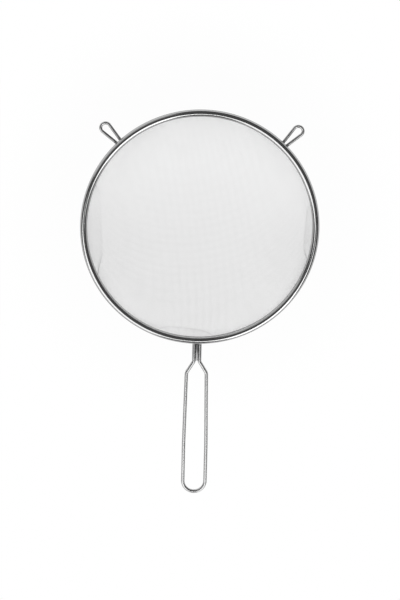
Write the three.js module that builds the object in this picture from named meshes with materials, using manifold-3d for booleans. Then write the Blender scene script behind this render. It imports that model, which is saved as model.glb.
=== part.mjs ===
// Mesh strainer: a bowl of woven steel cloth in a rolled rim, with a wire loop handle and two rest ears.
// Millimetres, +Z up. The origin is on the bowl's axis, level with the middle of the rim's bead.
// The bowl opens upwards, the handle points along -Y and the ears sit on the other side of the rim.

import * as THREE from 'three';
import { mergeVertices } from 'three/addons/utils/BufferGeometryUtils.js';
import Module from 'manifold-3d';

// Rim: a sheet strip rolled over the hemmed cloth, with two flanges that grip the cloth below the bead
const RIM_OUTER_DIAMETER = 200;
const BAND_SHEET = 0.5;
const FLANGE_LENGTH = 5;
const CORE_WIRE_DIAMETER = 2.5;

// Bowl: the cloth's thickness holds two crossing wires and their crimp
const CLOTH_THICKNESS = 0.6;
const BOWL_DEPTH = 66; // from the top of the rim to the inside of the bottom
const BOWL_FULLNESS = 2.1; // 2 is an ellipse, more gives a flatter bottom and a steeper wall
const HEM_TAIL_ANGLE = 40; // how far the hem runs on below the outer side of the core wire, in degrees

// Weave: the cloth's own openings are under a millimetre wide, so a coarse square grid stands for them
const OPENINGS_ACROSS = 12; // along the cloth, from rim to rim through the bottom
const WEAVE_BAR = 3.6; // cloth between two openings
const WEAVE_EDGE = 3; // whole cloth below the rim's flanges

// Handle: one wire, from the rim through the neck, shoulders and grip to a round end, and back
const HANDLE_WIRE_DIAMETER = 3;
const HANDLE_REACH = 135; // from the rim's outer edge to the end of the handle
const NECK_LENGTH = 17; // from the rim's outer edge to the start of the shoulders
const NECK_GAP = 1.8; // between the two legs
const NECK_BEND_RADIUS = 4;
const SHOULDER_LENGTH = 10;
const SHOULDER_SPACING = 17; // between the wires' centres
const SHOULDER_BEND_RADIUS = 6;
const GRIP_SPACING = 19.2; // between the wires' centres, at the widest place
const GRIP_STRAIGHT = 34; // from the widest place to the round end
const GRIP_BOW_RADIUS = 400;

// Neck plate: lies under the two legs
const NECK_PLATE_THICKNESS = 1;
const NECK_PLATE_INSET = 0.3; // from the outer sides of the legs
const NECK_PLATE_CORNER = 1.2;

// Ears: teardrop loops of thinner wire
const EAR_WIRE_DIAMETER = 2.5;
const EAR_REACH = 20.2; // from the rim's outer edge to the tip
const EAR_END_RADIUS = 4; // of the wire's centre line
const EAR_LEG_SPACING = 3.8; // between the legs' centres at the rim
const EAR_ANGLE = 44; // from +Y, in degrees

// Fits
const SEAT_GAP = 0.3; // between pieces that touch
const WELD_SIZE = 0.9; // weld metal standing out round a leg
const WELD_LENGTH = 1.8; // weld metal along a leg

// Facets
const ROUND_STEPS = 60; // round the bowl
const BOWL_STEPS = 12; // from the bowl's bottom to the rim
const WIRE_SIDES = 10;
const ARC_STEP = THREE.MathUtils.degToRad(30); // round the bead and the hem
const BEND_STEP = THREE.MathUtils.degToRad(15); // along a bent wire
const WELD_SIDES = 12;

// Rim sizes that follow from how the bead is packed: core wire, cloth and sheet, each a gap apart
const coreRadius = CORE_WIRE_DIAMETER / 2;
const hemRadius = coreRadius + SEAT_GAP + CLOTH_THICKNESS / 2;
const beadInside = hemRadius + CLOTH_THICKNESS / 2 + SEAT_GAP;
const beadOutside = beadInside + BAND_SHEET;
const slotHalf = CLOTH_THICKNESS / 2 + SEAT_GAP;
const flangeHalf = slotHalf + BAND_SHEET;
const flangeBottom = -(beadOutside + FLANGE_LENGTH);
const rimEdge = RIM_OUTER_DIAMETER / 2;
const rimRadius = rimEdge - beadOutside;
const flangeRadius = rimRadius + flangeHalf;
const slotTurn = Math.acos(slotHalf / beadInside); // where the bead's inside opens into the slot

const polar = (radius, angle) => new THREE.Vector2(radius * Math.cos(angle), radius * Math.sin(angle));

// Points on an arc round the origin, from one angle to another, both ends included
function arc(radius, from, to) {
  const steps = Math.ceil(Math.abs(to - from) / ARC_STEP);
  return Array.from({ length: steps + 1 }, (_, i) => polar(radius, from + ((to - from) * i) / steps));
}

// A closed ring: a profile drawn round the bead's middle, turned about the bowl's axis
function revolve(profile) {
  const geometry = new THREE.LatheGeometry(profile, ROUND_STEPS);
  return geometry.rotateX(Math.PI / 2);
}

const onRim = (point) => new THREE.Vector2(rimRadius + point.x, point.y);

// Rim band: the bead is open below, where its two edges turn down into the flanges
function rimBandGeometry() {
  const outerTurn = Math.acos(flangeHalf / beadOutside);
  const profile = [
    new THREE.Vector2(slotHalf, flangeBottom),
    new THREE.Vector2(flangeHalf, flangeBottom),
    ...arc(beadOutside, -outerTurn, Math.PI + outerTurn),
    new THREE.Vector2(-flangeHalf, flangeBottom),
    new THREE.Vector2(-slotHalf, flangeBottom),
    ...arc(beadInside, Math.PI + slotTurn, -slotTurn),
    new THREE.Vector2(slotHalf, flangeBottom),
  ];
  return revolve(profile.map(onRim));
}

function coreWireGeometry() {
  const profile = arc(coreRadius, 0, 2 * Math.PI);
  profile[profile.length - 1].copy(profile[0]);
  return revolve(profile.map(onRim));
}

// Middle line of the bowl's wall, from its bottom to the rim's flanges
function wallLine() {
  const bottom = beadOutside - BOWL_DEPTH - CLOTH_THICKNESS / 2;
  return Array.from({ length: BOWL_STEPS + 1 }, (_, i) => {
    const turn = (i / BOWL_STEPS) * (Math.PI / 2);
    const out = Math.sin(turn) ** (2 / BOWL_FULLNESS);
    const down = i === BOWL_STEPS ? 0 : Math.cos(turn) ** (2 / BOWL_FULLNESS);
    return new THREE.Vector2(rimRadius * out, flangeBottom + (bottom - flangeBottom) * down);
  });
}

// Middle line of the cloth: up the wall, between the flanges and over the core wire
function clothLine() {
  // The cloth bends round the corner where the inner flange opens into the bead
  const corner = polar(beadInside, Math.PI + slotTurn);
  const bend = arc(slotHalf, 0, slotTurn).map((point) => point.add(corner));
  const hem = arc(hemRadius, Math.PI + slotTurn, -THREE.MathUtils.degToRad(HEM_TAIL_ANGLE));
  return [...wallLine(), ...[...bend, ...hem.slice(1)].map(onRim)];
}

// The cloth as a thin shell: its middle line set off to both sides
function clothShell() {
  const line = clothLine();
  const sides = [-1, 1].map((side) => line.map((point, i) => {
    const before = line[Math.max(i - 1, 0)];
    const after = line[Math.min(i + 1, line.length - 1)];
    const along = i === 0 ? new THREE.Vector2(1, 0) : after.clone().sub(before).normalize();
    const across = new THREE.Vector2(along.y, -along.x).multiplyScalar((side * CLOTH_THICKNESS) / 2);
    return point.clone().add(across);
  }));
  return revolve([...sides[1], ...sides[0].reverse()]);
}

// A wire's middle line: straight runs between corners, with a round bend at each inner corner
class BentWire extends THREE.Curve {
  constructor(corners, bendRadii) {
    super();
    this.points = [corners[0]];
    bendRadii.forEach((radius, i) => this.addBend(corners[i], corners[i + 1], corners[i + 2], radius));
    this.points.push(corners[corners.length - 1]);
    this.points = this.points.filter((point, i, all) => i === 0 || point.distanceTo(all[i - 1]) > 1e-6);
  }

  addBend(from, corner, to, radius) {
    const into = corner.clone().sub(from).normalize();
    const away = to.clone().sub(corner).normalize();
    const turn = into.angleTo(away);
    const axis = into.clone().cross(away).normalize();
    const start = corner.clone().addScaledVector(into, -radius * Math.tan(turn / 2));
    const centre = axis.clone().cross(into).multiplyScalar(radius).add(start);
    const steps = Math.max(2, Math.ceil(turn / BEND_STEP));
    for (let i = 0; i <= steps; i += 1) {
      const spoke = start.clone().sub(centre).applyAxisAngle(axis, (turn * i) / steps);
      this.points.push(spoke.add(centre));
    }
  }

  // The line is walked point by point, so bends get short steps and straight runs a single one
  getPoint(t, target = new THREE.Vector3()) {
    const place = t * (this.points.length - 1);
    const i = Math.min(Math.floor(place), this.points.length - 2);
    return target.lerpVectors(this.points[i], this.points[i + 1], place - i);
  }

  getUtoTmapping(u) {
    return u;
  }
}

function wireGeometry(path, diameter) {
  const sideTurn = (2 * Math.PI) / WIRE_SIDES;
  const section = Array.from({ length: WIRE_SIDES }, (_, i) => polar(diameter / 2, i * sideTurn));
  return new THREE.ExtrudeGeometry(new THREE.Shape(section), {
    extrudePath: path,
    steps: path.points.length - 1,
  });
}

// Legs end a gap short of the rim's outer flange and run a gap below the bead
const legStart = flangeRadius + SEAT_GAP;
const handleLevel = -(beadOutside + SEAT_GAP + HANDLE_WIRE_DIAMETER / 2);
const earLevel = -(beadOutside + SEAT_GAP + EAR_WIRE_DIAMETER / 2);
const neckSpacing = HANDLE_WIRE_DIAMETER + NECK_GAP;

// The handle is drawn along +Y from the bowl's axis and turned to -Y where it is placed
function handlePath() {
  const neckEnd = rimEdge + NECK_LENGTH;
  const shoulderEnd = neckEnd + SHOULDER_LENGTH;
  const end = rimEdge + HANDLE_REACH - HANDLE_WIRE_DIAMETER / 2;
  const half = [
    new THREE.Vector3(neckSpacing / 2, legStart, 0),
    new THREE.Vector3(neckSpacing / 2, neckEnd, 0),
    new THREE.Vector3(SHOULDER_SPACING / 2, shoulderEnd, 0),
    new THREE.Vector3(GRIP_SPACING / 2, end - GRIP_SPACING / 2 - GRIP_STRAIGHT, 0),
    new THREE.Vector3(GRIP_SPACING / 2, end, 0),
  ];
  const mirrored = half.map((point) => new THREE.Vector3(-point.x, point.y, 0)).reverse();
  const bends = [NECK_BEND_RADIUS, SHOULDER_BEND_RADIUS, GRIP_BOW_RADIUS, GRIP_SPACING / 2];
  return new BentWire([...half, ...mirrored], [...bends, ...bends.toReversed()]);
}

// Each ear is drawn along +Y: two straight legs that run tangent to the round end
function earPath() {
  const tip = rimEdge + EAR_REACH - EAR_WIRE_DIAMETER / 2;
  const length = tip - EAR_END_RADIUS - legStart;
  const base = EAR_LEG_SPACING / 2;
  const flare = Math.asin(EAR_END_RADIUS / Math.hypot(base, length)) - Math.atan2(base, length);
  const tipHalf = EAR_END_RADIUS * Math.tan((Math.PI / 2 + flare) / 2);
  const corners = [
    new THREE.Vector3(base, legStart, 0),
    new THREE.Vector3(tipHalf, tip, 0),
    new THREE.Vector3(-tipHalf, tip, 0),
    new THREE.Vector3(-base, legStart, 0),
  ];
  return new BentWire(corners, [EAR_END_RADIUS, EAR_END_RADIUS]);
}

// The plate reaches from the rim's flange to the neck's end
function neckPlateGeometry() {
  const half = neckSpacing / 2 + HANDLE_WIRE_DIAMETER / 2 - NECK_PLATE_INSET;
  const end = rimEdge + NECK_LENGTH;
  const outline = new THREE.Shape();
  outline.moveTo(-half, legStart);
  outline.lineTo(half, legStart);
  outline.lineTo(half, end - NECK_PLATE_CORNER);
  outline.absarc(half - NECK_PLATE_CORNER, end - NECK_PLATE_CORNER, NECK_PLATE_CORNER, 0, Math.PI / 2);
  outline.absarc(NECK_PLATE_CORNER - half, end - NECK_PLATE_CORNER, NECK_PLATE_CORNER, Math.PI / 2, Math.PI);
  outline.closePath();
  return new THREE.ExtrudeGeometry(outline, {
    depth: NECK_PLATE_THICKNESS,
    bevelEnabled: false,
    curveSegments: 4,
  });
}

const wasm = await Module();
wasm.setup();

function toSolid(geometry) {
  const bare = geometry.clone();
  bare.deleteAttribute('normal');
  bare.deleteAttribute('uv');
  const merged = mergeVertices(bare, 1e-4);
  return new wasm.Manifold(new wasm.Mesh({
    numProp: 3,
    vertProperties: new Float32Array(merged.attributes.position.array),
    triVerts: new Uint32Array(merged.index.array),
  }));
}

function toGeometry(solid) {
  const mesh = solid.getMesh();
  const geometry = new THREE.BufferGeometry();
  geometry.setAttribute('position', new THREE.BufferAttribute(mesh.vertProperties, 3));
  geometry.setIndex(new THREE.BufferAttribute(mesh.triVerts, 1));
  geometry.computeVertexNormals();
  return geometry;
}

// The cloth is woven flat: in the bowl each point keeps its distance from the middle, along the wall
function onBowl(wall, flat, offset) {
  const share = flat.length() / wall.getLength();
  const section = wall.getPoint(share);
  const along = wall.getTangent(share);
  section.add(new THREE.Vector2(-along.y, along.x).multiplyScalar(offset));
  return new THREE.Vector3(section.x, 0, section.y).applyAxisAngle(new THREE.Vector3(0, 0, 1), flat.angle());
}

// A square plate of crossing bars, laid on the bowl: it runs on above the rim, where it is trimmed
function weaveGeometry() {
  const line = wallLine();
  const length = new THREE.Path(line).getLength();
  const wall = new THREE.Path([...line, new THREE.Vector2(rimRadius, flangeBottom + length)]);
  const pitch = (2 * length) / OPENINGS_ACROSS;
  const edges = Array.from({ length: OPENINGS_ACROSS - 1 }, (_, i) => (i + 1) * pitch - length)
    .flatMap((middle) => [middle - WEAVE_BAR / 2, middle + WEAVE_BAR / 2]);
  const lines = [-length, ...edges, length];
  const count = lines.length;
  const points = [-1, 1].flatMap((side) => lines.flatMap((y) => lines.map((x) => (
    onBowl(wall, new THREE.Vector2(x, y), (side * CLOTH_THICKNESS) / 2)))));
  const corner = (column, row, side) => (side * count + row) * count + column;
  const isCloth = (column, row) => Math.min(column, row) >= 0 && Math.max(column, row) < count - 1
    && (column % 2 === 1 || row % 2 === 1);
  const index = [];
  const addQuad = (a, b, c, d) => index.push(a, b, c, a, c, d);
  for (let row = 0; row < count - 1; row += 1) {
    for (let column = 0; column < count - 1; column += 1) {
      if (!isCloth(column, row)) continue;
      const [a, b, c, d] = [[0, 0], [1, 0], [1, 1], [0, 1]].map(([x, y]) => [column + x, row + y]);
      addQuad(...[a, b, c, d].map((at) => corner(...at, 1)));
      addQuad(...[d, c, b, a].map((at) => corner(...at, 0)));
      [[a, b, 0, -1], [b, c, 1, 0], [c, d, 0, 1], [d, a, -1, 0]].forEach(([from, to, x, y]) => {
        if (isCloth(column + x, row + y)) return;
        addQuad(corner(...from, 0), corner(...to, 0), corner(...to, 1), corner(...from, 1));
      });
    }
  }
  const geometry = new THREE.BufferGeometry().setFromPoints(points);
  return geometry.setIndex(index);
}

// The cloth is whole from its edge upwards, and a grid of bars below it
function meshBowlGeometry() {
  const edge = flangeBottom - WEAVE_EDGE;
  const hem = toSolid(clothShell()).trimByPlane([0, 0, 1], edge);
  const weave = toSolid(weaveGeometry()).trimByPlane([0, 0, -1], -(edge + CLOTH_THICKNESS));
  return toGeometry(hem.add(weave));
}

// The rim with a gap all round it, drawn without its slot, for trimming what is welded to it
function rimEnvelope() {
  const outside = beadOutside + SEAT_GAP;
  const flange = flangeHalf + SEAT_GAP;
  const turn = Math.acos(flange / outside);
  const bottom = flangeBottom - SEAT_GAP;
  const profile = [
    new THREE.Vector2(flange, bottom),
    ...arc(outside, -turn, Math.PI + turn),
    new THREE.Vector2(-flange, bottom),
    new THREE.Vector2(flange, bottom),
  ];
  return revolve(profile.map(onRim));
}

// A wire's two legs with a gap round them, running on into the rim
function legEnvelopes({ path, diameter, level }) {
  const grown = diameter + 2 * SEAT_GAP;
  return [path.points, path.points.toReversed()].map(([foot, next]) => {
    const inward = foot.clone().sub(next).normalize();
    const leg = new BentWire([next, foot.clone().addScaledVector(inward, grown)], []);
    return wireGeometry(leg, grown).translate(0, 0, level);
  });
}

// Weld metal: a rounded mass round the feet of two legs, trimmed to lie a gap off all that it joins
function weldGeometry(wire, floor) {
  const across = wire.diameter / 2 + SEAT_GAP + WELD_SIZE;
  const along = SEAT_GAP + WELD_LENGTH;
  const [left, right] = [-1, 1].map((side) => {
    const lump = new THREE.SphereGeometry(1, WELD_SIDES, WELD_SIDES / 2);
    lump.scale(across, along, across);
    return toSolid(lump.translate((side * wire.spacing) / 2, flangeRadius, wire.level));
  });
  const below = new THREE.BoxGeometry(wire.spacing + 2 * across, 2 * along, across);
  below.translate(0, flangeRadius, floor - across / 2);
  const cuts = [rimEnvelope(), ...legEnvelopes(wire), below];
  return toGeometry(cuts.reduce((weld, cut) => weld.subtract(toSolid(cut)), left.add(right)));
}

const steel = (color, roughness) => new THREE.MeshStandardMaterial({ color, roughness, metalness: 1 });

function piece(name, geometry, material) {
  const mesh = new THREE.Mesh(geometry, material);
  mesh.name = name;
  return mesh;
}

const strainer = new THREE.Group();
strainer.add(piece('mesh_bowl', meshBowlGeometry(), steel(0xdcdedf, 0.4)));
strainer.add(piece('rim_band', rimBandGeometry(), steel(0xc8cacc, 0.15)));
strainer.add(piece('rim_core_wire', coreWireGeometry(), steel(0xb4b6b8, 0.4)));

// Handle, plate and weld, turned from +Y to -Y
const handleWire = {
  path: handlePath(),
  diameter: HANDLE_WIRE_DIAMETER,
  spacing: neckSpacing,
  level: handleLevel,
};
const handleBottom = handleLevel - HANDLE_WIRE_DIAMETER / 2;
const handleLoopGeometry = wireGeometry(handleWire.path, handleWire.diameter);
const handleLoop = piece('handle_loop', handleLoopGeometry, steel(0xc8cacc, 0.2));
handleLoop.position.z = handleLevel;
const neckPlate = piece('neck_plate', neckPlateGeometry(), steel(0xb9bbbd, 0.3));
neckPlate.position.z = handleBottom - SEAT_GAP - NECK_PLATE_THICKNESS;
const handleWeld = piece('handle_weld', weldGeometry(handleWire, handleBottom), steel(0xa9abad, 0.45));
const handle = new THREE.Group();
handle.add(handleLoop, neckPlate, handleWeld);
handle.rotation.z = Math.PI;
strainer.add(handle);

// Ears, one on each side of +Y
const earWire = {
  path: earPath(),
  diameter: EAR_WIRE_DIAMETER,
  spacing: EAR_LEG_SPACING,
  level: earLevel,
};
for (const [name, side] of [['ear_left', 1], ['ear_right', -1]]) {
  const loop = piece(name, wireGeometry(earWire.path, earWire.diameter), steel(0xc8cacc, 0.2));
  loop.position.z = earLevel;
  const weld = piece(`${name}_weld`, weldGeometry(earWire, flangeBottom), steel(0xa9abad, 0.45));
  const ear = new THREE.Group();
  ear.add(loop, weld);
  ear.rotation.z = side * THREE.MathUtils.degToRad(EAR_ANGLE);
  strainer.add(ear);
}

export default strainer;
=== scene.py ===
# %% [markdown]
# # A mesh strainer
# A round kitchen strainer is wire and sheet steel, and little else. A disc of woven wire cloth is
# pressed to a bowl, its edge is hemmed round a stiff core wire, and a strip of sheet is rolled over the
# hem to make the rim. A bent wire is the handle, and two small wire ears on the far side let the
# strainer rest on a pot.
#
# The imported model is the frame: it has each piece at its right size and place, with flat facets. Here
# each piece is made again in its place with a smooth shape and a real finish, and the bowl is woven
# wire by wire.

# %% Load the frame
import math

import bmesh
import bpy
import numpy as np
from mathutils import Matrix, Vector


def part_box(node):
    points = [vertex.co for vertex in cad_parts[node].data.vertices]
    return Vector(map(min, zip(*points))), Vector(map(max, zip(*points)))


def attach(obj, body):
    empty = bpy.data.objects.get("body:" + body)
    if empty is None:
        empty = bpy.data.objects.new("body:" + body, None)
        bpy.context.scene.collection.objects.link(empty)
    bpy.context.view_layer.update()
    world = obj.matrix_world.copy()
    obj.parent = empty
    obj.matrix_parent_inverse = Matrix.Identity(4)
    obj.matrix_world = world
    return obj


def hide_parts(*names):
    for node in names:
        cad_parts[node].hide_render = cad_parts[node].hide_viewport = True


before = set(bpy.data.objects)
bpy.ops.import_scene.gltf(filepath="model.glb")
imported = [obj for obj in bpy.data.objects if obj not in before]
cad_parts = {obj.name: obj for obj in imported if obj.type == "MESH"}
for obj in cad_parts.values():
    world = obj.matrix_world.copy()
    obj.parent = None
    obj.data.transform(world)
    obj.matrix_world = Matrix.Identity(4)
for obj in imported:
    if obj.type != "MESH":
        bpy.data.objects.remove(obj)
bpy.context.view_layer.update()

print("pieces in the frame:", ", ".join(sorted(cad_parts)))

# %% [markdown]
# ## Camera
# The photograph looks down into the bowl, with the handle pointing down the picture. The rim's outline
# is almost a circle, so the view is only some 14 degrees from straight above, from a little way towards
# the ears. A long lens from nearly two metres keeps the handle's end as wide as it looks there. Tilt,
# swing and roll are set as three angles about the point that lies in the middle of the picture.

# %% Camera
CAMERA_DISTANCE = 1.8
CAMERA_TILT = math.radians(14.15)  # from straight above, towards the ears
CAMERA_SWING = math.radians(-1.91)  # towards the left ear
CAMERA_ROLL = math.radians(-1.35)
PICTURE_MIDDLE = Vector((0.00146, -0.06185, 0.0))
LENS = 128.2  # in millimetres, for the picture's long side on a sensor of 36

scene = bpy.context.scene


def place_camera():
    towards = Vector((
        math.sin(CAMERA_SWING) * math.cos(CAMERA_TILT),
        math.sin(CAMERA_TILT),
        math.cos(CAMERA_SWING) * math.cos(CAMERA_TILT),
    )).normalized()
    up = (Vector((0, 1, 0)) - towards.y * towards).normalized()
    turn = Matrix((up.cross(towards), up, towards)).transposed()
    data = bpy.data.cameras.new("camera")
    data.lens = LENS
    camera = bpy.data.objects.new("camera", data)
    roll = Matrix.Rotation(-CAMERA_ROLL, 3, "Z")
    camera.matrix_world = Matrix.LocRotScale(PICTURE_MIDDLE + CAMERA_DISTANCE * towards, turn @ roll, None)
    scene.collection.objects.link(camera)
    scene.camera = camera
    return camera


camera = place_camera()
scene.view_settings.view_transform = "Standard"
print("camera at, m:", [round(x, 3) for x in camera.location])

# %% [markdown]
# ## Writing shaders as sums
# A finish is a small calculation over the surface: a noise, a stripe, a mask, mixed into colour and
# roughness. Nodes could be placed and linked one by one, but a sum is easier to read, so a socket is
# wrapped in a small class. Plus, minus, times and the like on it add Math nodes, and one method adds
# every other kind of node.

# %% Shader sockets
class Socket:
    """An output of a node in a shader, or just the shader when it has no output yet."""

    def __init__(self, tree, output=None):
        self.tree = tree
        self.output = output

    def node(self, kind, settings=None, inputs=None, output=0):
        made = self.tree.nodes.new(kind)
        for name, value in (settings or {}).items():
            setattr(made, name, value)
        for name, value in (inputs or {}).items():
            if isinstance(value, Socket):
                self.tree.links.new(value.output, made.inputs[name])
            else:
                made.inputs[name].default_value = value
        return Socket(self.tree, made.outputs[output] if made.outputs else None)

    def math(self, operation, *values):
        return self.node("ShaderNodeMath", {"operation": operation}, dict(enumerate(values)))

    def __add__(self, other):
        return self.math("ADD", self, other)

    def __sub__(self, other):
        return self.math("SUBTRACT", self, other)

    def __rsub__(self, other):
        return self.math("SUBTRACT", other, self)

    def __mul__(self, other):
        return self.math("MULTIPLY", self, other)

    __radd__ = __add__
    __rmul__ = __mul__


def smooth_step(value, low, high, at_low=0.0, at_high=1.0):
    settings = {"interpolation_type": "SMOOTHSTEP"}
    inputs = {"Value": value, "From Min": low, "From Max": high, "To Min": at_low, "To Max": at_high}
    return value.node("ShaderNodeMapRange", settings, inputs)


def mixed(factor, first, second):
    """A colour between two others, each a made colour or a grey from 0 to 1."""
    first, second = (c if isinstance(c, Socket) else (c, c, c, 1.0) for c in (first, second))
    inputs = {"Factor": factor, "A": first, "B": second}
    return factor.node("ShaderNodeMix", {"data_type": "RGBA"}, inputs, "Result")


def new_shader(owner):
    owner.use_nodes = True
    owner.node_tree.nodes.clear()
    return Socket(owner.node_tree)


# %% [markdown]
# ## Surroundings
# Polished steel shows its surroundings, so the studio makes the finish as much as the metal does. The
# dark stripes along the rim are the dim ceiling. The white ones at the handle's side are two soft
# boxes, one to the left and one to the right, with a gap between them. A dim third one stands behind,
# to the left, and greys the rim's inner side across from it. Below and at the horizon all is white. The
# world is therefore dim overhead and white low down.

# %% World
CEILING = 0.10  # how bright the dim ceiling is
HORIZON_TOP = 0.095  # sine of the elevation up to which the surroundings are white
CEILING_START = 0.16  # sine of the elevation from which they are dim


def light_the_world():
    world = bpy.data.worlds.new("studio")
    scene.world = world
    shader = new_shader(world)
    direction = shader.node("ShaderNodeTexCoord", output="Generated")
    height = shader.node("ShaderNodeSeparateXYZ", inputs={"Vector": direction}, output="Z")
    level = smooth_step(height, HORIZON_TOP, CEILING_START, 1.0, CEILING)
    background = shader.node("ShaderNodeBackground", inputs={"Color": level, "Strength": 1.0})
    shader.node("ShaderNodeOutputWorld", inputs={"Surface": background})
    return world


light_the_world()
print("world: white up to", round(math.degrees(math.asin(HORIZON_TOP))), "degrees, dim overhead")

# %% [markdown]
# ## Soft boxes
# A soft box is a lamp behind white cloth. Polished steel shows it as a white stripe, so its place and
# size matter more than its power. An area lamp is the same thing. What counts is how bright it looks in
# the steel, so that is what is set, and the power that Blender asks for is that brightness times pi
# times the area.

# %% Lamps
def add_lamp(name, place, aim, width, height, radiance):
    """A flat soft lamp, with its brightness given as what a mirror would show of it."""
    data = bpy.data.lights.new(name, "AREA")
    data.shape = "RECTANGLE"
    data.size = width
    data.size_y = height
    data.energy = radiance * math.pi * width * height
    lamp = bpy.data.objects.new(name, data)
    lamp.location = place
    lamp.rotation_euler = (Vector(aim) - Vector(place)).to_track_quat("-Z", "Y").to_euler()
    scene.collection.objects.link(lamp)
    return lamp


LAMP_AWAY = 5.0  # metres from the bowl's middle


def soft_box(name, turn, elevation, width, height, radiance):
    """A soft box that looks at the bowl, at a turn about the axis and an elevation in degrees."""
    turn = math.radians(turn)
    elevation = math.radians(elevation)
    level = LAMP_AWAY * math.cos(elevation)
    place = (level * math.cos(turn), level * math.sin(turn), LAMP_AWAY * math.sin(elevation))
    return add_lamp(name, place, (0.0, 0.0, 0.0), width, height, radiance)


left_box = soft_box("left_box", turn=233.5, elevation=44, width=3.8, height=4.8, radiance=1.8)
right_box = soft_box("right_box", turn=299, elevation=46, width=2.4, height=4.2, radiance=2.5)
rear_box = soft_box("rear_box", turn=135, elevation=26, width=5.2, height=3.6, radiance=0.45)
print("lamps, W:", [round(lamp.data.energy) for lamp in (left_box, right_box, rear_box)])

# %% [markdown]
# ## White floor
# The ground in the photograph is plain white, with hardly a shadow. A white sheet alone would turn grey
# in this light. So the camera and the steel see the floor mostly as even white, and a small share of
# the plain sheet keeps the shadow under the strainer. Further out the even white takes over.

# %% Floor
FLOOR_GAP = 0.0002  # kept free between the bowl and the floor
FLOOR_HALF = 60.0
FLOOR_WHITE = 0.95
SHADOW_NEAR = 0.10  # up to this far from the bowl's axis the floor keeps the most of the shadow
SHADOW_FAR = 0.20
EVEN_SHARE = 0.97  # share of even white under the strainer

bowl_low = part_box("mesh_bowl")[0]


def lay_floor():
    mesh = bpy.data.meshes.new("floor")
    half = FLOOR_HALF
    corners = [(-half, -half, 0), (half, -half, 0), (half, half, 0), (-half, half, 0)]
    mesh.from_pydata(corners, [], [(0, 1, 2, 3)])
    floor = bpy.data.objects.new("floor", mesh)
    floor.location.z = bowl_low.z - FLOOR_GAP
    scene.collection.objects.link(floor)

    material = bpy.data.materials.new("floor_white")
    shader = new_shader(material)
    place = shader.node("ShaderNodeTexCoord", output="Object")
    away = shader.node("ShaderNodeVectorMath", {"operation": "LENGTH"}, {0: place}, "Value")
    share = smooth_step(away, SHADOW_NEAR, SHADOW_FAR, EVEN_SHARE, 1.0)
    ray = shader.tree.nodes.new("ShaderNodeLightPath")
    camera_ray, glossy_ray, transmission_ray = (
        Socket(shader.tree, ray.outputs[name])
        for name in ("Is Camera Ray", "Is Glossy Ray", "Is Transmission Ray")
    )
    seen = camera_ray + glossy_ray + transmission_ray
    white = (FLOOR_WHITE, FLOOR_WHITE, FLOOR_WHITE, 1)
    plain = shader.node("ShaderNodeBsdfDiffuse", inputs={"Color": white})
    even = shader.node("ShaderNodeEmission", inputs={"Color": (1, 1, 1, 1), "Strength": 1.0})
    surface = shader.node("ShaderNodeMixShader", inputs={0: share * seen, 1: plain, 2: even})
    shader.node("ShaderNodeOutputMaterial", inputs={"Surface": surface})
    mesh.materials.append(material)
    return floor


floor = lay_floor()
print("floor at, mm:", round(1000 * floor.location.z, 2))

# %% [markdown]
# ## Steel finishes
# All of it is bright stainless steel, but each piece was made in its own way. The rim's strip was
# rolled, so faint lines run round it. The handle and ear wires were drawn through a die, so their lines
# run along the wire. Both have faint clouds of handling over them. The metal itself is one colour, so
# the shader changes mostly roughness and the slope of the surface, and only a little colour. The wires
# also carry painted shade: their colour is painted darker near the rim.

# %% Steel
CLOUD_SCALE = 90.0
CLOUD_DETAIL = 3.0
LINE_SHARE = 0.7  # how far the colour follows the lines, the rest follows the clouds
ROUGH_LINES = 0.6
ROUGH_CLOUDS = 0.8
ROUGH_MIDDLE = (ROUGH_LINES + ROUGH_CLOUDS) / 2  # noise is 0.5 on average
# Painted shade: the wires' colour is painted darker near the rim, towards this grey, and fades outwards.
PAINTED_SHADE_GREY = 0.26
PAINTED_SHADE_SHARE = 0.7  # how much of that painted shade grey the wires take on at the rim
PAINTED_SHADE_NEAR = 0.109  # up to this far from the bowl's axis the painted shade on the wires is darkest
PAINTED_SHADE_FAR = 0.120


def steel(name, dark, light, rough, rough_range, pattern, relief=0.0, edge=0.35, painted_shade=None):
    """A steel finish, with edge as its grey at a glance.

    Pattern takes the shader and gives a mask from 0 to 1 of lines or grain; the last argument, if given, does
    the same for painted shade near the rim.
    """
    material = bpy.data.materials.new(name)
    shader = new_shader(material)
    mask = pattern(shader)
    place = shader.node("ShaderNodeTexCoord", output="Object")
    cloud_inputs = {"Vector": place, "Scale": CLOUD_SCALE, "Detail": CLOUD_DETAIL}
    clouds = shader.node("ShaderNodeTexNoise", inputs=cloud_inputs)
    colour = mixed(mask * LINE_SHARE + clouds * (1 - LINE_SHARE), dark, light)
    # Painted shade, where a finish has it: the colour is mixed towards a darker grey by its mask.
    if painted_shade:
        colour = mixed(painted_shade(shader), colour, PAINTED_SHADE_GREY)
    roughness = rough + rough_range * (mask * ROUGH_LINES + clouds * ROUGH_CLOUDS - ROUGH_MIDDLE)
    inputs = {"Base Color": colour, "Metallic": 1.0, "Roughness": roughness}
    inputs["Specular Tint"] = (edge, edge, edge, 1.0)
    if relief:
        bump_inputs = {"Strength": 1.0, "Distance": relief, "Height": mask + clouds}
        inputs["Normal"] = shader.node("ShaderNodeBump", inputs=bump_inputs, output="Normal")
    surface = shader.node("ShaderNodeBsdfPrincipled", inputs=inputs)
    shader.node("ShaderNodeOutputMaterial", inputs={"Surface": surface})
    return material


# %% [markdown]
# ## Marks on the steel
# Each way of making leaves its own marks. Noise that is stretched round the axis gives the lines of a
# rolled strip, and noise that is stretched along a wire gives those of a drawn one. Even noise gives
# the grain of stamped plate and of weld metal.

# %% Marks
ROLL_ROUND = 2.0  # how fast the noise changes round the axis, in radians
ROLL_ACROSS = 2500.0  # and across the strip, in metres
DRAWN_ALONG = 60.0
DRAWN_ROUND = 26.0
MARK_DETAIL = 2.0
GRAIN_SCALE = 1500.0
GRAIN_DETAIL = 3.0


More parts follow.
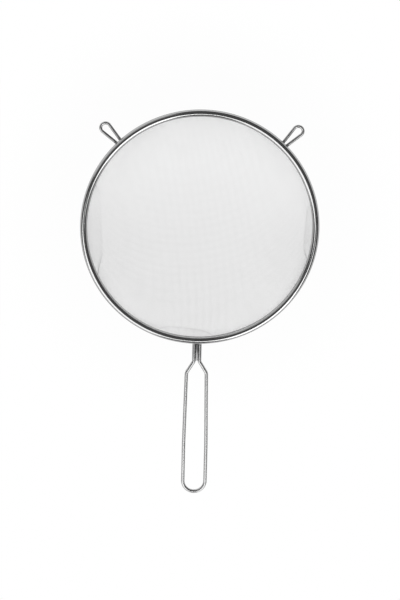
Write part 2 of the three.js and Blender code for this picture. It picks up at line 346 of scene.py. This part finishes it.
def rolled_lines(shader):
    """Fine lines round the bowl's axis, as rolls leave them on a strip."""
    place = shader.node("ShaderNodeTexCoord", output="Object")
    x, y, z = (
        shader.node("ShaderNodeSeparateXYZ", inputs={"Vector": place}, output=axis)
        for axis in "XYZ"
    )
    turn = x.math("ARCTAN2", x, y)
    radius = x.math("SQRT", x * x + y * y)
    stretched = {"X": turn * ROLL_ROUND, "Y": radius * ROLL_ACROSS, "Z": z * ROLL_ACROSS}
    at = shader.node("ShaderNodeCombineXYZ", inputs=stretched)
    return shader.node("ShaderNodeTexNoise", inputs={"Vector": at, "Scale": 1.0, "Detail": MARK_DETAIL})


def drawn_lines(shader):
    """Fine lines along a wire, as a die leaves them. The map runs along the wire and round it."""
    along = shader.node("ShaderNodeUVMap", {"uv_map": "along"})
    stretch = (DRAWN_ALONG, DRAWN_ROUND, 1.0)
    at = shader.node("ShaderNodeVectorMath", {"operation": "MULTIPLY"}, {0: along, 1: stretch})
    return shader.node("ShaderNodeTexNoise", inputs={"Vector": at, "Scale": 1.0, "Detail": MARK_DETAIL})


def painted_rim_shade(shader):
    """How much painted shade darkens a wire, which fades with the distance from the rim."""
    place = shader.node("ShaderNodeTexCoord", output="Object")
    away = shader.node("ShaderNodeVectorMath", {"operation": "LENGTH"}, {0: place}, "Value")
    return smooth_step(away, PAINTED_SHADE_NEAR, PAINTED_SHADE_FAR, PAINTED_SHADE_SHARE, 0.0)


def fine_grain(shader):
    """Even grain without a direction."""
    place = shader.node("ShaderNodeTexCoord", output="Object")
    inputs = {"Vector": place, "Scale": GRAIN_SCALE, "Detail": GRAIN_DETAIL}
    return shader.node("ShaderNodeTexNoise", inputs=inputs)


# %% [markdown]
# ## Finishes
# With the marks at hand, each finish is only a few numbers: its darkest and its lightest grey, how rough
# it is, how far that varies, and how deep its marks are. The rim is the smoothest, so it mirrors the
# studio the most sharply. The cloth's wires are light and a little dull. Weld metal has the deepest
# grain, as it was left the way it cooled.

# %% Finishes
rolled_steel = steel(
    "rolled_steel", dark=0.46, light=0.56, rough=0.12, rough_range=0.10, pattern=rolled_lines, relief=2e-6)
# The drawn wires carry painted shade near the rim.
drawn_steel = steel(
    "drawn_steel", dark=0.46, light=0.58, rough=0.26, rough_range=0.14, pattern=drawn_lines, relief=3e-6,
    painted_shade=painted_rim_shade)
cloth_steel = steel(
    "cloth_steel", dark=0.68, light=0.80, rough=0.34, rough_range=0.16, pattern=fine_grain, edge=0.8)
plate_steel = steel(
    "plate_steel", dark=0.36, light=0.50, rough=0.34, rough_range=0.16, pattern=fine_grain, relief=4e-6)
weld_metal = steel(
    "weld_metal", dark=0.60, light=0.85, rough=0.30, rough_range=0.20, pattern=fine_grain, relief=2e-5)
finishes = (rolled_steel, drawn_steel, cloth_steel, plate_steel, weld_metal)
print("finishes:", ", ".join(finish.name for finish in finishes))

# %% [markdown]
# ## Making a piece
# Every piece below is worked out as points and faces, by turning a profile round the bowl's axis or by
# leading a small round section along a line. One helper turns those into an object, shades it smooth,
# gives it its finish, and hides the piece of the frame that it stands for. Turned and led shapes are
# grids of quads, so they unroll into a flat map without any cutting, and the map goes with the piece.

# %% Pieces
BAKE_MAP = "OFBake"  # name of the flat map in which each face has a place of its own


def make_piece(name, points, faces, material, slot, *nodes, maps=None):
    mesh = bpy.data.meshes.new(name)
    mesh.from_pydata(np.asarray(points).tolist(), [], [tuple(face) for face in faces])
    for map_name, places in (maps or {}).items():
        layer = mesh.uv_layers.new(name=map_name)
        layer.uv.foreach_set("vector", np.asarray(places, dtype=np.float32).ravel())
    mesh.shade_smooth()
    mesh.materials.append(material)
    piece = bpy.data.objects.new(name, mesh)
    scene.collection.objects.link(piece)
    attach(piece, "root")
    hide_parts(*nodes)
    print(name, "has", len(mesh.polygons), "faces")
    return piece


def grid_faces(rows, columns, close_rows=False):
    """Quads between neighbours in a grid of points whose columns close on themselves."""
    row = np.arange(rows if close_rows else rows - 1)[:, None]
    column = np.arange(columns)[None, :]
    after = (row + 1) % rows
    beside = (column + 1) % columns
    corners = (
        row * columns + column,
        row * columns + beside,
        after * columns + beside,
        after * columns + column,
    )
    return np.stack(np.broadcast_arrays(*corners), axis=-1).reshape(-1, 4)


def grid_map(rows, columns, close_rows=False):
    """Places of the same quads in a flat map, from 0 to 1 along the rows and round the columns."""
    steps = rows if close_rows else rows - 1
    row = np.arange(steps)[:, None, None] + np.array([0, 0, 1, 1])
    column = np.arange(columns)[None, :, None] + np.array([0, 1, 1, 0])
    return np.stack(np.broadcast_arrays(row / steps, column / columns), axis=-1).reshape(-1, 2)


# %% [markdown]
# ## Rim
# The strip is rolled over the hem to a round bead, and its two edges come down as flanges that grip the
# cloth. A bevelled curve could make the bead, but not the flanges, so the section is drawn as a closed
# outline and turned round the axis. The bends where the bead goes over into the flanges are round, as
# in real sheet.

# %% Rim band
BAND_SHEET = 0.0005
BEAD_RADIUS = 0.00295  # to the outside of the sheet
FLANGE_HALF = 0.0011  # from the cloth to the outside of a flange
FLANGE_BEND = 0.0009  # inside radius where the bead goes over into a flange
FLANGE_STEPS = 6
BEAD_STEPS = 20
RIM_TURN_STEPS = 360
CORE_WIRE = 0.0025

core_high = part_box("rim_core_wire")[1]
rim_radius = core_high.x - CORE_WIRE / 2
rim_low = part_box("rim_band")[0]


def arc(centre, radius, start, end, steps):
    turn = np.linspace(start, end, steps + 1)
    return np.stack([centre[0] + radius * np.cos(turn), centre[1] + radius * np.sin(turn)], axis=1)


def half_section(shift):
    """Right half of the band's section on one face of the sheet, from the flange's edge to the bead's top."""
    bead = BEAD_RADIUS - shift
    flange = FLANGE_HALF - shift
    bend = FLANGE_BEND + shift
    level = -math.sqrt((bead + bend) ** 2 - (flange + bend) ** 2)
    meet = math.atan2(level, flange + bend)
    foot = np.array([[flange, rim_low.z]])
    curve = arc((flange + bend, level), bend, math.pi, math.pi + meet, FLANGE_STEPS)
    top = arc((0, 0), bead, meet, math.pi / 2, BEAD_STEPS)[1:]
    return np.concatenate([foot, curve, top])


def turned(section, steps):
    """Points of a section turned round the bowl's axis, one row for each step."""
    turn = np.linspace(0, 2 * math.pi, steps, endpoint=False)[:, None]
    radius, height = section[:, 0], section[:, 1]
    columns = np.broadcast_arrays(radius * np.cos(turn), radius * np.sin(turn), height)
    return np.stack(columns, axis=-1).reshape(-1, 3)


def rim_section():
    outside, inside = half_section(0.0), half_section(BAND_SHEET)
    mirror = np.array([-1, 1])
    outer = np.concatenate([outside, (outside * mirror)[::-1][1:]])
    inner = np.concatenate([inside, (inside * mirror)[::-1][1:]])
    return np.concatenate([outer, inner[::-1]]) + [rim_radius, 0]


section = rim_section()
rim_faces = grid_faces(RIM_TURN_STEPS, len(section), close_rows=True)
rim_map = grid_map(RIM_TURN_STEPS, len(section), close_rows=True)
rim_points = turned(section, RIM_TURN_STEPS)
make_piece(
    "rolled_rim", rim_points, rim_faces, rolled_steel, "rim_steel", "rim_band", maps={BAKE_MAP: rim_map})

# %% [markdown]
# ## Core wire
# The hem is folded round a plain wire ring, which makes the rim stiff. It is hidden in the bead, but it
# is a piece of its own, so it is turned round the axis in the same way as the strip.

# %% Core wire
CORE_SIDES = 16

core_section = arc((rim_radius, 0), CORE_WIRE / 2, 0, 2 * math.pi, CORE_SIDES)[:-1]
core_faces = grid_faces(RIM_TURN_STEPS, CORE_SIDES, close_rows=True)
core_map = grid_map(RIM_TURN_STEPS, CORE_SIDES, close_rows=True)
core_points = turned(core_section, RIM_TURN_STEPS)
make_piece(
    "core_wire", core_points, core_faces, cloth_steel, "wire_steel", "rim_core_wire",
    maps={BAKE_MAP: core_map})

# %% [markdown]
# ## Woven bowl
# The cloth is woven flat and square and then pressed into the bowl. Its wires hardly stretch, so the
# squares keep their sides and only shear: along the wires through the bottom they stay square, and
# between them, near the rim, they lean over to lozenges. A texture could hint at that, but the wires
# are what lets the light through, so they are laid one by one.

# %% Bowl form
CLOTH_THICKNESS = 0.0006
BOWL_FULLNESS = 2.1  # 2 is an ellipse, more gives a steeper wall
CLOTH_TOP = -0.0035  # how high the wires run up between the flanges
FORM_STEPS = 4000

bowl_bottom = bowl_low.z + CLOTH_THICKNESS / 2
wall_height = rim_low.z - bowl_bottom


def bowl_form():
    """Length along the bowl's wall from its bottom, with the radius and height there."""
    turn = np.linspace(0, math.pi / 2, FORM_STEPS)
    radius = rim_radius * np.sin(turn) ** (2 / BOWL_FULLNESS)
    height = rim_low.z - wall_height * np.abs(np.cos(turn)) ** (2 / BOWL_FULLNESS)
    radius = np.append(radius, rim_radius)
    height = np.append(height, CLOTH_TOP)
    length = np.concatenate([[0], np.cumsum(np.hypot(np.diff(radius), np.diff(height)))])
    return length, radius, height


form_length, form_radius, form_height = bowl_form()
form_out = np.gradient(form_radius, form_length)
form_up = np.gradient(form_height, form_length)
print("cloth from bottom to rim, mm:", round(1000 * form_length[-1], 1))


def on_bowl(length, turn):
    """Points on the bowl, with their slopes along the wall and round the axis."""
    radius = np.interp(length, form_length, form_radius)
    height = np.interp(length, form_length, form_height)
    out = np.interp(length, form_length, form_out)
    up = np.interp(length, form_length, form_up)
    cos, sin = np.cos(turn), np.sin(turn)
    point = np.stack([radius * cos, radius * sin, height], axis=-1)
    along = np.stack([out * cos, out * sin, up], axis=-1)
    round_axis = np.stack([-radius * sin, radius * cos, np.zeros_like(radius)], axis=-1)
    return point, along, round_axis


# %% [markdown]
# ## Net of crossings
# The net is found outwards from the bottom. Each new crossing lies on the bowl, one pitch away from
# each of its two neighbours. Those are two equations for its two places, along the wall and round the
# axis, and a few Newton steps solve them for a whole diagonal of the net at once. One quarter is
# enough, as the other three are its mirror images.

# %% Net of crossings
CLOTH_PITCH = 0.0010
CLOTH_WIRE = 0.00016
SOLVER_ROUNDS = 8

reach = int(form_length[-1] / CLOTH_PITCH)


def net_quarter():
    """Length and turn of each crossing in the quarter between +X and +Y, empty past the cloth's end."""
    count = 2 * reach
    length = np.full((count, count), np.nan)
    turn = np.full((count, count), np.nan)
    axis = np.arange(reach + 1)
    length[axis, 0] = length[0, axis] = axis * CLOTH_PITCH
    turn[axis, 0] = 0.0
    turn[0, axis] = math.pi / 2
    turn[0, 0] = math.pi / 4
    for diagonal in range(2, 2 * count - 1):
        i = np.arange(max(1, diagonal - count + 1), min(diagonal, count))
        j = diagonal - i
        held = np.isfinite(length[i - 1, j]) & np.isfinite(length[i, j - 1])
        i, j = i[held], j[held]
        if len(i) == 0:
            break
        left = on_bowl(length[i - 1, j], turn[i - 1, j])[0]
        below = on_bowl(length[i, j - 1], turn[i, j - 1])[0]
        s = length[i - 1, j] + length[i, j - 1] - length[i - 1, j - 1]
        t = turn[i - 1, j] + turn[i, j - 1] - turn[i - 1, j - 1]
        for _ in range(SOLVER_ROUNDS):
            point, along, round_axis = on_bowl(s, t)
            to_left, to_below = point - left, point - below
            miss_left = ((to_left ** 2).sum(1) - CLOTH_PITCH ** 2) / 2
            miss_below = ((to_below ** 2).sum(1) - CLOTH_PITCH ** 2) / 2
            a, b = (to_left * along).sum(1), (to_left * round_axis).sum(1)
            c, d = (to_below * along).sum(1), (to_below * round_axis).sum(1)
            whole = a * d - b * c
            s = s - (d * miss_left - b * miss_below) / whole
            t = t - (a * miss_below - c * miss_left) / whole
        good = np.isfinite(s) & (s < form_length[-1]) & (s > 0)
        length[i[good], j[good]] = s[good]
        turn[i[good], j[good]] = t[good]
    return length, turn


def whole_net():
    """Crossings and surface normals of the whole cloth, by mirroring the quarter about X and Y."""
    length, turn = net_quarter()
    point, along, _ = on_bowl(length, turn)
    out = np.hypot(along[..., 0], along[..., 1])
    normal = np.stack([-along[..., 2] * np.cos(turn), -along[..., 2] * np.sin(turn), out], axis=-1)
    count = len(length)
    index = np.abs(np.arange(1 - count, count))
    side = np.sign(np.arange(1 - count, count))
    flip = np.stack(np.broadcast_arrays(side[:, None], side[None, :], 1), axis=-1)
    flip = np.where(flip == 0, 1, flip)
    return point[index][:, index] * flip, normal[index][:, index] * flip


crossings, normals = whole_net()
print("crossings in the cloth:", int(np.isfinite(crossings[..., 0]).sum()))

# %% [markdown]
# ## An uneven weave
# A loom doesn't lay every wire alike: each one lies a few hundredths of a millimetre out of its place,
# now to one side and now to the other. A perfect net would look printed, and in a picture its wires
# would beat against the pixels as broad stripes. So every wire drifts a little between its neighbours,
# by random steps that are the same each time.

# %% Uneven weave
WEAVE_DRIFT = 0.04  # usual distance of a wire from its even place, in pitches
DRIFT_RUN = 6  # crossings from one random step to the next
drift_draw = np.random.default_rng(5)


def uneven(net):
    """Crossings moved a little along the first index, each wire across it in its own way."""
    knots = np.arange(net.shape[1] // DRIFT_RUN + 2)
    steps = drift_draw.normal(0.0, WEAVE_DRIFT, (len(net), len(knots)))
    along = np.arange(net.shape[1]) / DRIFT_RUN
    drift = np.array([np.interp(along, knots, wire) for wire in steps])
    to_next = np.nan_to_num(np.roll(net, -1, axis=0) - net)
    return net + drift[..., None] * to_next


even_crossings = crossings
crossings = uneven(crossings)
crossings = uneven(crossings.transpose(1, 0, 2)).transpose(1, 0, 2)
moved = np.linalg.norm(crossings - even_crossings, axis=-1)
print("wires out of place by, mm:", round(1000 * float(np.nanmean(moved)), 3))

# %% [markdown]
# ## Creases
# Where the hem was rolled in, it has pulled the cloth straight in three places along the rim. Each is a
# shallow lens between the rim and a crease that runs along the wires. Sculpting would do it by hand.
# Here the crossings are moved along their normals, so that the wires follow the crease as real ones do.

# %% Creases
CREASE_STRAIGHT = 0.6  # share of a crease that is straight, before its ends turn to the rim
CREASES = (  # turn about the axis, distance of the crease from it, half its length, depth of the lens
    (math.radians(183), 0.0827, 0.041, 0.0017),
    (math.radians(-3), 0.0903, 0.025, 0.0010),
    (math.radians(264), 0.0932, 0.024, 0.0012),
)
LEAST_LENS = 1e-6  # keeps a width from being nothing


def pulled_in(place):
    """How far the cloth lies inside the plain bowl at each crossing, along the normal."""
    pulled = np.zeros(place.shape[:-1])
    for turn, distance, half, depth in CREASES:
        out = place[..., 0] * math.cos(turn) + place[..., 1] * math.sin(turn)
        across = np.abs(place[..., 1] * math.cos(turn) - place[..., 0] * math.sin(turn)) / half
        rim_here = np.sqrt(rim_radius ** 2 - np.minimum(across, 1) ** 2 * half ** 2)
        bent = np.clip((across - CREASE_STRAIGHT) / (1 - CREASE_STRAIGHT), 0, 1) ** 2
        crease = distance + (rim_here - distance) * bent
        share = np.clip((out - crease) / np.maximum(rim_here - crease, LEAST_LENS), 0, 1)
        pulled += 4 * depth * share * (1 - share) * (across < 1)
    return pulled


crossings = crossings + pulled_in(crossings)[..., None] * normals
print("cloth pulled in by, mm:", round(1000 * float(np.nanmax(pulled_in(crossings))), 2))

# %% [markdown]
# ## Wires of the cloth
# In a plain weave each wire goes over one crossing and under the next, and its neighbours do the
# opposite, like the squares of a chessboard. A point halfway between two crossings gives each wire its
# crimp, and the crimps are what glitters in real wire cloth. A ring of four points is enough for a wire
# as thin as a hair.

# %% Cloth wires
CLOTH_SIDES = 4
CLOTH_RING = 0.53  # radius of that ring of points, in thicknesses of the wire
CRIMP = 0.5  # how far a wire is lifted at a crossing, in thicknesses
CLOTH_BUNDLES = 6  # pieces in which the wires of one direction are gathered
END_STRIP = 0.2  # share of a bar's map that holds its two ends
END_HALF_WIDTH = 0.2
END_HALF_HEIGHT = 0.4  # in heights of that strip
END_MIDDLES = (0.25, 0.75)


def led_along(line, upright, radius, sides):
    """A round section led along a line: its points, one ring for each point of the line."""
    forward = np.gradient(line, axis=0)
    forward /= np.linalg.norm(forward, axis=1)[:, None]
    beside = np.cross(upright, forward)
    beside /= np.linalg.norm(beside, axis=1)[:, None]
    over = np.cross(forward, beside)
    turn = np.linspace(0, 2 * math.pi, sides, endpoint=False)[None, :, None]
    rings = line[:, None] + radius * (np.cos(turn) * beside[:, None] + np.sin(turn) * over[:, None])
    return rings.reshape(-1, 3)


def round_bar(line, upright, radius, sides):
    """A round bar along a line: its points, its faces with closed ends, and their places in a flat map."""
    points = led_along(line, upright, radius, sides)
    last = sides * (len(line) - 1)
    ends = [range(sides - 1, -1, -1), range(last, last + sides)]
    places = grid_map(len(line), sides) * (1, 1 - END_STRIP)
    turn = np.linspace(0, 2 * math.pi, sides, endpoint=False)
    disc = np.column_stack([np.cos(turn), np.sin(turn)]) * (END_HALF_WIDTH, END_HALF_HEIGHT * END_STRIP)
    end_places = [disc + (middle, 1 - END_STRIP / 2) for middle in END_MIDDLES]
    return points, [*grid_faces(len(line), sides), *ends], np.concatenate([places, *end_places])


def crimped_wire(crossing, normal, lift):
    """Middle line of a cloth wire through its crossings, with a point halfway between, and its normals."""
    line = np.repeat(crossing, 2, axis=0)[:-1]
    line[1::2] = (crossing[1:] + crossing[:-1]) / 2
    line[::2] += lift[:, None] * normal
    return line, np.repeat(normal, 2, axis=0)[:-1]


def wire_bundle(net, normal, lift):
    """Points, faces and map of the wires that run along the first index of a part of the net."""
    held = np.isfinite(net[..., 0])
    wires = np.nonzero(held.sum(0) > 2)[0]
    all_points, all_faces, all_places = [], [], []
    first = 0
    for row, wire in enumerate(wires):
        on = held[:, wire]
        line, upright = crimped_wire(net[on, wire], normal[on, wire], lift[on, wire])
        points, faces, places = round_bar(line, upright, CLOTH_WIRE * CLOTH_RING, CLOTH_SIDES)
        all_points.append(points)
        all_faces.append(np.array([list(face) for face in faces]) + first)
        all_places.append((places + (0, row)) / (1, len(wires)))
        first += len(points)
    return np.concatenate(all_points), np.concatenate(all_faces), np.concatenate(all_places)


number = np.arange(len(crossings))
lift = np.where((number[:, None] + number) % 2, CRIMP, -CRIMP) * CLOTH_WIRE
used = number[np.isfinite(crossings[..., 0]).any(0)]
for name, net, normal, over in (
    ("warp", crossings, normals, lift),
    ("weft", crossings.transpose(1, 0, 2), normals.transpose(1, 0, 2), -lift),
):
    for bundle, part in enumerate(np.array_split(used, CLOTH_BUNDLES)):
        points, faces, places = wire_bundle(net[:, part], normal[:, part], over[:, part])
        title = f"cloth_{name}_{bundle + 1}"
        make_piece(title, points, faces, cloth_steel, "steel_cloth", "mesh_bowl", maps={BAKE_MAP: places})

# %% [markdown]
# ## Bent wires
# The handle and the ears are bent from wire. A curve object with a bevel would do, but its bends are
# splines. A bent wire has straight runs and round bends of one radius, so its middle line is drawn from
# corners and bend radii, and a round section is led along it.

# %% Bent wires
BEND_STEP = math.radians(5)
RUN_STEP = 0.004
SAME_POINT = 1e-7  # points nearer than this are one
WIRE_SIDES = 24


def spin(angle):
    """The turn of a plan about its origin, as a matrix."""
    return np.array([[math.cos(angle), -math.sin(angle)], [math.sin(angle), math.cos(angle)]])


def bent_line(corners, radii):
    """Middle line of a wire in plan: straight runs between corners, with a round bend at each inner one."""
    corners = np.asarray(corners, dtype=float)
    line = [corners[0]]
    for before, corner, after, radius in zip(corners, corners[1:], corners[2:], radii):
        into = (corner - before) / np.linalg.norm(corner - before)
        away = (after - corner) / np.linalg.norm(after - corner)
        turn = math.atan2(into[0] * away[1] - into[1] * away[0], into @ away)
        start = corner - into * radius * math.tan(abs(turn) / 2)
        spoke = -math.copysign(radius, turn) * np.array([-into[1], into[0]])
        for angle in np.linspace(0, turn, max(2, math.ceil(abs(turn) / BEND_STEP)) + 1):
            line.append(start - spoke + spin(angle) @ spoke)
    line.append(corners[-1])
    return np.array(line)


def filled_line(line):
    """The same line with long runs cut into short steps, and doubled points left out."""
    out = [line[0]]
    for point in line[1:]:
        run = np.linalg.norm(point - out[-1])
        if run < SAME_POINT:
            continue
        steps = max(1, math.ceil(run / RUN_STEP))
        out.extend(out[-1] + (point - out[-1]) * np.linspace(0, 1, steps + 1)[1:, None])
    return np.array(out)


def wire_piece(name, line, level, diameter, turn, *nodes):
    plan = filled_line(line)
    middle_line = np.column_stack([plan @ spin(turn).T, np.full(len(plan), level)])
    upright = np.tile([0.0, 0.0, 1.0], (len(plan), 1))
    points, faces, places = round_bar(middle_line, upright, diameter / 2, WIRE_SIDES)
    length = np.linalg.norm(np.diff(plan, axis=0), axis=1).sum()
    maps = {BAKE_MAP: places, "along": places * (length, 1)}
    return make_piece(name, points, faces, drawn_steel, "wire_steel", *nodes, maps=maps)


# %% [markdown]
# ## Handle
# The handle is one wire, bent flat: two legs close together at the neck, splayed shoulders, a long grip
# that bows a little, and a round end. Only one half is listed, and the other is its mirror image.

# %% Handle
HANDLE_WIRE = 0.003
NECK_SPACING = 0.0048
NECK_LENGTH = 0.017
NECK_BEND = 0.004
SHOULDER_LENGTH = 0.010
SHOULDER_SPACING = 0.017
SHOULDER_BEND = 0.006
GRIP_SPACING = 0.0192
GRIP_STRAIGHT = 0.034
GRIP_BOW = 0.4

handle_low, handle_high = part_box("handle_loop")
rim_edge = rim_radius + BEAD_RADIUS
handle_level = (handle_low.z + handle_high.z) / 2
leg_start = -handle_high.y


def handle_line():
    neck_end = rim_edge + NECK_LENGTH
    shoulder_end = neck_end + SHOULDER_LENGTH
    end = -handle_low.y - HANDLE_WIRE / 2
    half = [
        (NECK_SPACING / 2, leg_start),
        (NECK_SPACING / 2, neck_end),
        (SHOULDER_SPACING / 2, shoulder_end),
        (GRIP_SPACING / 2, end - GRIP_SPACING / 2 - GRIP_STRAIGHT),
        (GRIP_SPACING / 2, end),
    ]
    bends = [NECK_BEND, SHOULDER_BEND, GRIP_BOW, GRIP_SPACING / 2]
    mirrored = [(-x, y) for x, y in reversed(half)]
    return bent_line([*half, *mirrored], [*bends, *reversed(bends)])


wire_piece("handle_wire", handle_line(), handle_level, HANDLE_WIRE, math.pi, "handle_loop")

# %% [markdown]
# ## Ears
# Each ear is a teardrop of thinner wire: two legs that spread from the rim and a round end that both
# run into without a kink. That fixes how far the legs spread.

# %% Ears
EAR_WIRE = 0.0025
EAR_REACH = 0.0202
EAR_END = 0.004
EAR_LEG_SPACING = 0.0038
EAR_ANGLE = math.radians(44)

ear_low, ear_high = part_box("ear_left")
ear_level = (ear_low.z + ear_high.z) / 2


def ear_line():
    tip = rim_edge + EAR_REACH - EAR_WIRE / 2
    length = tip - EAR_END - leg_start
    base = EAR_LEG_SPACING / 2
    flare = math.asin(EAR_END / math.hypot(base, length)) - math.atan2(base, length)
    tip_half = EAR_END * math.tan((math.pi / 2 + flare) / 2)
    corners = [(base, leg_start), (tip_half, tip), (-tip_half, tip), (-base, leg_start)]
    return bent_line(corners, [EAR_END, EAR_END])


for side, turn in (("left", EAR_ANGLE), ("right", -EAR_ANGLE)):
    wire_piece(f"ear_wire_{side}", ear_line(), ear_level, EAR_WIRE, turn, f"ear_{side}")

# %% [markdown]
# ## Neck plate
# A small plate lies under the two legs and ties them together. It was stamped out of sheet, so its
# edges are a little round. A box with a bevel gives that, with rounder corners at the end that points
# to the grip. A bevel may number its points in another way from run to run, so they are put in order of
# place.

# %% Neck plate
PLATE_EDGE = 0.00018
PLATE_EDGE_STEPS = 3
PLATE_CORNER = 0.0012
PLATE_CORNER_STEPS = 6
SHARP = math.radians(40)  # edges that turn more than this are rounded


def in_order(build):
    """Points and faces of a mesh in order of place, so that they are numbered alike in every run."""
    vertices = sorted(build.verts, key=lambda vertex: tuple(vertex.co))
    number = {vertex: index for index, vertex in enumerate(vertices)}
    faces = []
    for face in build.faces:
        corners = [number[vertex] for vertex in face.verts]
        first = corners.index(min(corners))
        faces.append(corners[first:] + corners[:first])
    return [tuple(vertex.co) for vertex in vertices], sorted(faces)


def neck_plate():
    low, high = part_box("neck_plate")
    build = bmesh.new()
    bmesh.ops.create_cube(build, size=1.0)
    size = high - low
    middle_point = (high + low) / 2
    bmesh.ops.scale(build, vec=size, verts=build.verts)
    bmesh.ops.translate(build, vec=middle_point, verts=build.verts)
    corners = []
    for edge in build.edges:
        start, end = (vertex.co for vertex in edge.verts)
        if abs(start.z - end.z) > size.z / 2 and start.y < middle_point.y:
            corners.append(edge)
    rounded = {"affect": "EDGES", "profile": 0.5}
    bmesh.ops.bevel(build, geom=corners, offset=PLATE_CORNER, segments=PLATE_CORNER_STEPS, **rounded)
    rims = [edge for edge in build.edges if edge.calc_face_angle(0.0) > SHARP]
    bmesh.ops.bevel(build, geom=rims, offset=PLATE_EDGE, segments=PLATE_EDGE_STEPS, **rounded)
    points, faces = in_order(build)
    build.free()
    return make_piece("neck_plate_stamped", points, faces, plate_steel, "plate_steel", "neck_plate")


neck_plate()

# %% [markdown]
# ## Welds
# Where the legs meet the rim they are welded, and the metal has run into a small rounded lump round
# each foot. At the handle the lumps are longer and show past the bead, at the ears they end under it.
# Two lumps per joint are pulled into one skin by a voxel remesh and then smoothed, which gives the soft
# valleys between them that a row of balls would lack.

# %% Weld lumps
WELD_STAND = 0.0009  # weld metal standing out round a leg
WELD_INSIDE = 0.0010  # how far a lump reaches into the hem
HANDLE_WELD_PAST = 0.0024  # how far the handle's lumps show past the bead
EAR_WELD_PAST = 0.00025
WELD_VOXEL = 0.00016
WELD_EASE = 6  # rounds of smoothing
LUMP_ROUNDS = 4  # times that a ball's faces are split


def weld(name, wire, spacing, level, past, turn, node):
    build = bmesh.new()
    across = wire / 2 + WELD_STAND
    inner = rim_radius - WELD_INSIDE
    outer = rim_edge + past
    size = Vector((across, (outer - inner) / 2, across))
    for side in (-1, 1):
        place = Vector((side * spacing / 2, (outer + inner) / 2, level))
        lump = Matrix.Rotation(turn, 4, "Z") @ Matrix.LocRotScale(place, None, size)
        bmesh.ops.create_icosphere(build, subdivisions=LUMP_ROUNDS, radius=1.0, matrix=lump)
    mesh = bpy.data.meshes.new(name + "_lumps")
    build.to_mesh(mesh)
    build.free()
    lumps = bpy.data.objects.new(name + "_lumps", mesh)
    scene.collection.objects.link(lumps)
    skin = lumps.modifiers.new("skin", "REMESH")
    skin.mode = "VOXEL"
    skin.voxel_size = WELD_VOXEL
    ease = lumps.modifiers.new("ease", "SMOOTH")
    ease.iterations = WELD_EASE
    done = lumps.evaluated_get(bpy.context.evaluated_depsgraph_get()).to_mesh()
    points = [tuple(vertex.co) for vertex in done.vertices]
    faces = [tuple(face.vertices) for face in done.polygons]
    bpy.data.objects.remove(lumps)
    return make_piece(name, points, faces, weld_metal, "weld_metal", node)


weld("handle_weld_bead", HANDLE_WIRE, NECK_SPACING, handle_level, HANDLE_WELD_PAST, math.pi, "handle_weld")
for side, turn in (("left", EAR_ANGLE), ("right", -EAR_ANGLE)):
    node = f"ear_{side}_weld"
    weld(f"ear_weld_bead_{side}", EAR_WIRE, EAR_LEG_SPACING, ear_level, EAR_WELD_PAST, turn, node)
